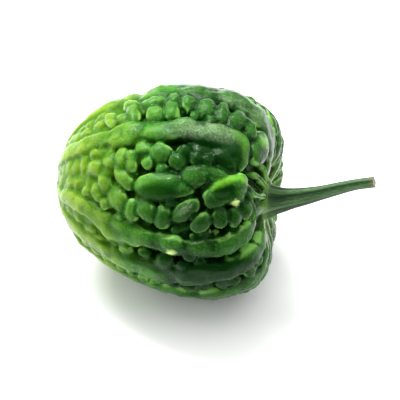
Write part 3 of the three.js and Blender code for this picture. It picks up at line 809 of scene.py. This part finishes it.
def makeWaxySkin():
    # waxy gourd skin: satin, a pale bloom at grazing angles; the grooves are painted a dark, clear green as
    # shade, and flanks, edges and tops carry painted rim light and highlights
    material, tree = startMaterial("waxy_gourd_skin")
    tints = {name: fromHex(text) for name, text in skinLook["tints"].items()}
    place = addNode(tree, "ShaderNodeTexCoord", output="Object")
    names = ("ripeness", "relief", "hollow", "sharp", "steep", "scuff", "paintedShade", "freshSkinAndHighlights", "chip", "foot")
    ripeness, relief, hollow, sharp, steep, scuff, paintedShade, freshSkinAndHighlights, chip, foot = (
        addNode(tree, "ShaderNodeAttribute", {"attribute_name": name}, output="Fac") for name in names)
    patches, blotches, speckle, grain = (
        addNode(tree, "ShaderNodeTexNoise", inputs={
            "Vector": place, "Scale": patternScale(size), "Detail": detail, "Roughness": roughness})
        for size, detail, roughness in skinLook["patterns"].values())

    # the green runs from dark at the stem to yellow-green at the tip
    drift = addNode(tree, "ShaderNodeMath", {"operation": "MULTIPLY_ADD"}, (patches, 0.3, -0.15))
    grade = addNode(tree, "ShaderNodeMath", {"operation": "ADD"}, (ripeness, drift))
    colour = addNode(tree, "ShaderNodeValToRGB", inputs=(grade,))
    stops = colour.node.color_ramp.elements
    stops[0].position, stops[0].color = 0.4, tints["stemGreen"]
    stops[1].position, stops[1].color = 0.74, tints["tipGreen"]
    stops.new(0.56).color = tints["middleGreen"]
    young = addNode(tree, "ShaderNodeMapRange", eased, (ripeness, 0.42, 0.78, 0, 1))
    ends = (("grooveShadeGreen", "tipGrooveShade"), ("paintedRimGreen", "paintedTipRim"), ("crestBloomAndLight", "tipBloomAndLight"))
    groove, paintedRim, bloomAndLitTops = (
        addNode(tree, "ShaderNodeMix", blend, {0: young, 6: tints[atStem], 7: tints[atTip]}, 2)
        for atStem, atTip in ends)

    # painted shade: low places, hollows and the painted shade spots take the groove green
    low = addNode(tree, "ShaderNodeMapRange", eased, (relief, 0.12, 0.6, 0.9, 0))
    hollowShade = addNode(tree, "ShaderNodeMapRange", eased, (hollow, -0.12, 0.42, 0, 0.9))
    shaded = addNode(tree, "ShaderNodeMath", multiply, (paintedShade, 0.9))
    deep = addNode(tree, "ShaderNodeMath", largest, (low, hollowShade))
    deep = addNode(tree, "ShaderNodeMath", largest, (deep, shaded))
    # outside the painted shade spots; inside them the pale tints and painted rim light are left off
    clear = addNode(tree, "ShaderNodeMapRange", eased, (paintedShade, 0, 0.6, 1, 0))
    # each layer: its colour, then the shares that are multiplied, as they are or as a value with
    # the range it is read over and the share at either end
    layers = [
        # painted shade in the grooves, the hollows and the shaded spots
        (groove, deep),
        # painted rim light: the steep flank of every ridge and wart is painted paler, as grazing light
        # catches it
        (paintedRim, (relief, 0.5, 0.78, 0, 0.85), (steep, 0.34, 0.74, 0, 1),
         (ripeness, 0.08, 0.26, 0.25, 1), clear),
        # the tops: partly waxy bloom, partly painted light where the lamps fall
        (bloomAndLitTops, (relief, 0.45, 0.85, 0, 1), (hollow, -0.65, -0.1, 1, 0), (ripeness, 0.35, 0.7, 0.2, 0.55),
         (patches, 0.35, 0.65, 0.6, 1), clear),
        (tints["footGreen"], foot),
        # pale fresh skin and painted highlights on the crests
        (tints["freshAndHighlightGreen"], freshSkinAndHighlights, (relief, 0.7, 1.05, 0, 0.85)),
        (tints["blotchGreen"], (blotches, 0.5, 0.7, 0, 0.2), clear),
        (groove, (blotches, 0.3, 0.48, 0.4, 0)),
        # painted shade makes the creases dark lines, and painted rim light pales every edge that stands out
        (groove, (sharp, 0.02, 0.12, 0, 0.95)),
        (paintedRim, (sharp, -0.17, -0.05, 0.88, 0), (steep, 0.16, 0.5, 0, 1), clear),
        # painted glints: pale specks are scattered over the crests, and grey specks crowd together on rubbed
        # patches
        (paintedRim, (speckle, 0.5, 0.68, 0, 0.14), (relief, 0.6, 0.95, 0, 1), clear),
        (tints["scuffGrey"], scuff, (speckle, 0.36, 0.66, 0.2, 0.46)),
        (tints["chipFlesh"], chip),
    ]
    for tint, *shares in layers:
        whole = None
        for share in shares:
            if isinstance(share, tuple):
                share = addNode(tree, "ShaderNodeMapRange", eased, share)
            whole = share if whole is None else addNode(tree, "ShaderNodeMath", multiply, (whole, share))
        colour = addNode(tree, "ShaderNodeMix", blend, {0: whole, 6: colour, 7: tint}, 2)

    satin = addNode(tree, "ShaderNodeMapRange", eased, (patches, 0.3, 0.7, 0.22, 0.34))
    bump = addNode(tree, "ShaderNodeBump", inputs={"Height": grain, "Strength": 0.7, "Distance": 0.5 * mm})
    surface = addNode(tree, "ShaderNodeBsdfPrincipled", inputs={
        "Base Color": colour, "Roughness": satin, "IOR": 1.42, "Normal": bump,
        "Specular IOR Level": 0.1, "Specular Tint": tints["glossGreen"],
        "Subsurface Weight": 0.03, "Subsurface Radius": (0.5, 1.0, 0.25), "Subsurface Scale": 2.5 * mm,
        "Sheen Weight": 0.04, "Sheen Roughness": 0.3, "Sheen Tint": tints["sheenGreen"],
        "Coat Weight": 0.14, "Coat Roughness": 0.1, "Coat IOR": 1.42,
    })
    addNode(tree, "ShaderNodeOutputMaterial", inputs={"Surface": surface})
    return material


stemLook = {
    "tints": {"flank": "#193a16", "rib": "#476d3a", "cut": "#5e5c3a", "root": "#5f8440"},
    "fibreLength": 8.33,
    "fibreWidth": 0.7143,  # real fibres are too fine to show, so these are drawn coarser
}


def makeStemSkin():
    # dry, ribbed peduncle skin: dull grey-green with paler cords along it
    material, tree = startMaterial("ribbed_peduncle_skin")
    tints = {name: fromHex(text) for name, text in stemLook["tints"].items()}
    place = addNode(tree, "ShaderNodeTexCoord", output="Object")
    rib, reach = (addNode(tree, "ShaderNodeAttribute", {"attribute_name": name}, output="Fac")
                  for name in ("rib", "reach"))
    lengthwise, crosswise = patternScale(stemLook["fibreLength"]), patternScale(stemLook["fibreWidth"])
    fibres = addNode(tree, "ShaderNodeMapping", inputs={
        "Vector": place, "Scale": (lengthwise, crosswise, crosswise)})
    threads = addNode(tree, "ShaderNodeTexNoise", inputs={"Vector": fibres, "Scale": 1.0, "Detail": 3})
    high = addNode(tree, "ShaderNodeMapRange", eased, (rib, -0.4, 1, 0, 0.75))
    mixed = addNode(tree, "ShaderNodeMath", {"operation": "MULTIPLY_ADD"}, (threads, 1.5, -0.75))
    share = addNode(tree, "ShaderNodeMath", {"operation": "ADD", "use_clamp": True}, (high, mixed))
    colour = addNode(tree, "ShaderNodeMix", blend, {0: share, 6: tints["flank"], 7: tints["rib"]}, 2)
    for tint, ends in ((tints["root"], (0, 0.2, 0.8, 0)), (tints["cut"], (0.96, 1, 0, 0.9))):
        share = addNode(tree, "ShaderNodeMapRange", eased, (reach, *ends))
        colour = addNode(tree, "ShaderNodeMix", blend, {0: share, 6: colour, 7: tint}, 2)
    bump = addNode(tree, "ShaderNodeBump", inputs={"Height": threads, "Strength": 0.7, "Distance": 0.5 * mm})
    surface = addNode(tree, "ShaderNodeBsdfPrincipled", inputs={
        "Base Color": colour, "Roughness": 0.5, "IOR": 1.45, "Specular IOR Level": 0.22, "Normal": bump,
        "Sheen Weight": 0.2, "Sheen Roughness": 0.5,
    })
    addNode(tree, "ShaderNodeOutputMaterial", inputs={"Surface": surface})
    return material


fruitSkin = buildFruitSkin()
finishFruitSkin(fruitSkin)
fruitSkin.data.materials.append(makeWaxySkin())
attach(fruitSkin, "root")
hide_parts("fruit")
print("fruit finished")

stemSkin = buildStem()
stemSkin.data.materials.append(makeStemSkin())
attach(stemSkin, "root")
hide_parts("stem")
print("stem finished")

studio = {
    "aim": (-6.04, 0.17, 41.88),
    "azimuth": 12.0,  # degrees round from straight ahead
    "elevation": 45.0,
    "distance": 650.0,
    "lens": 124.5,
    "floorColour": "#fafafa",
    "skyStrength": 0.32,
    "softboxes": [  # name, place and target in metres, size, watts
        ("top_softbox", (0, 0.35, 1.0), (0, 0.1, 0), (2.0, 1.6), 17.5),
        ("key_softbox", (-0.38, 0.47, 0.85), (0, 0, 0.05), (0.75, 0.65), 15.5),
        ("spark_softbox", (-0.3, 0.2, 0.95), (0, 0, 0.05), (0.16, 0.12), 4),  # small, for crisp highlights
        ("left_panel", (-1.1, -0.1, 0.45), (0, 0, 0.04), (1.0, 0.8), 9),
        ("right_panel", (1.1, 0.1, 0.45), (0, 0, 0.04), (1.0, 0.8), 5.5),
    ],
}


def setCamera():
    azimuth, elevation = math.radians(studio["azimuth"]), math.radians(studio["elevation"])
    flat = math.cos(elevation)
    back = Vector((math.sin(azimuth) * flat, -math.cos(azimuth) * flat, math.sin(elevation)))
    data = bpy.data.cameras.new("camera")
    data.lens = studio["lens"]
    data.sensor_width = 36
    data.clip_start, data.clip_end = 0.01, 20
    camera = bpy.data.objects.new("camera", data)
    camera.location = (Vector(studio["aim"]) + back * studio["distance"]) * mm
    camera.rotation_euler = back.to_track_quat("Z", "Y").to_euler()
    bpy.context.scene.collection.objects.link(camera)
    bpy.context.scene.camera = camera


def addSoftbox(name, place, target, size, power):
    data = bpy.data.lights.new(name, "AREA")
    data.shape = "RECTANGLE"
    data.size, data.size_y = size
    data.energy = power
    light = bpy.data.objects.new(name, data)
    light.location = place
    light.rotation_euler = (Vector(place) - Vector(target)).to_track_quat("Z", "Y").to_euler()
    bpy.context.scene.collection.objects.link(light)


def setStudio():
    bm = bmesh.new()
    bmesh.ops.create_grid(bm, x_segments=1, y_segments=1, size=6)
    mesh = bpy.data.meshes.new("floor")
    bm.to_mesh(mesh)
    bm.free()
    floor = bpy.data.objects.new("floor", mesh)
    bpy.context.scene.collection.objects.link(floor)
    material, tree = startMaterial("matt_white_sweep")
    # matt paper sweep: hardly any gloss, so the floor shows only light and shadow
    surface = addNode(tree, "ShaderNodeBsdfPrincipled", inputs={
        "Base Color": fromHex(studio["floorColour"]), "Roughness": 0.9, "Specular IOR Level": 0.1})
    addNode(tree, "ShaderNodeOutputMaterial", inputs={"Surface": surface})
    mesh.materials.append(material)

    world = bpy.data.worlds.new("soft_sky")
    world.use_nodes = True
    world.node_tree.nodes["Background"].inputs["Color"].default_value = (1, 1, 1, 1)
    world.node_tree.nodes["Background"].inputs["Strength"].default_value = studio["skyStrength"]
    bpy.context.scene.world = world
    for softbox in studio["softboxes"]:
        addSoftbox(*softbox)
    bpy.context.scene.view_settings.view_transform = "Standard"


setCamera()
setStudio()
print("studio set")
